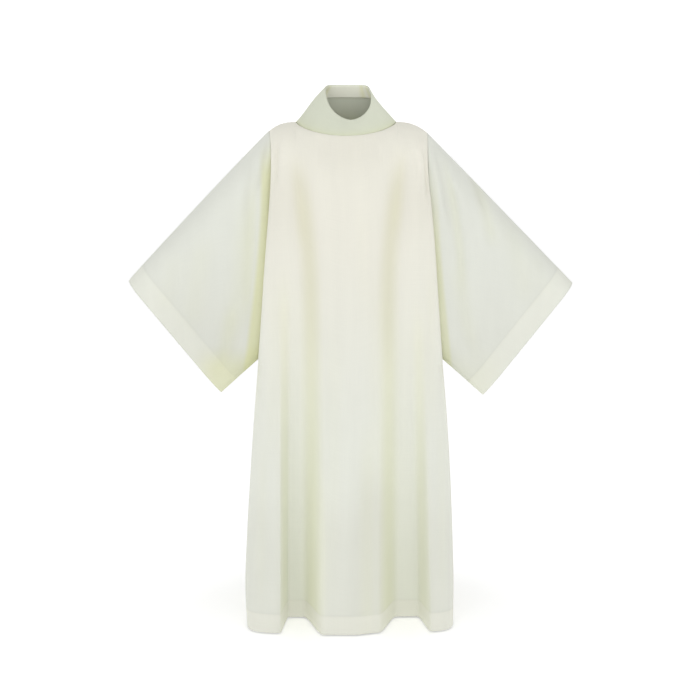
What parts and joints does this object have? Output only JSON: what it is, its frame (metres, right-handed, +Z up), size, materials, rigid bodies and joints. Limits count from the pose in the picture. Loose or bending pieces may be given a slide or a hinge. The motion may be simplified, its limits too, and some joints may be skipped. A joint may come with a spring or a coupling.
{
  "type": "alb robe",
  "caption": "Hollow worn-form alb robe: straight folded body, wide flared sleeves with deep cuff hems and a funnel collar.",
  "frame": {"origin": "middle of the shoulders at the base of the neck, where the wearer's shoulders hold the robe up", "axes": "+Z up along the garment's length, -Y the way the front faces, +X the viewer's right (the wearer's left)"},
  "size_m": [1.147, 0.377, 1.3938],
  "materials": {
    "body_cloth": "fine plain weave, soft matt ivory",
    "sleeve_cloth": "fine plain weave, soft matt ivory",
    "collar_cloth": "interlined fine plain weave, matt ivory",
    "facing_cloth": "fine plain weave, matt ivory"
  },
  "bodies": {
    "root": {"front_panel": "body_cloth", "back_panel": "body_cloth", "sleeve_left": "sleeve_cloth", "sleeve_right": "sleeve_cloth", "collar": "collar_cloth", "collar_facing": "facing_cloth"}
  },
  "joints": []
}
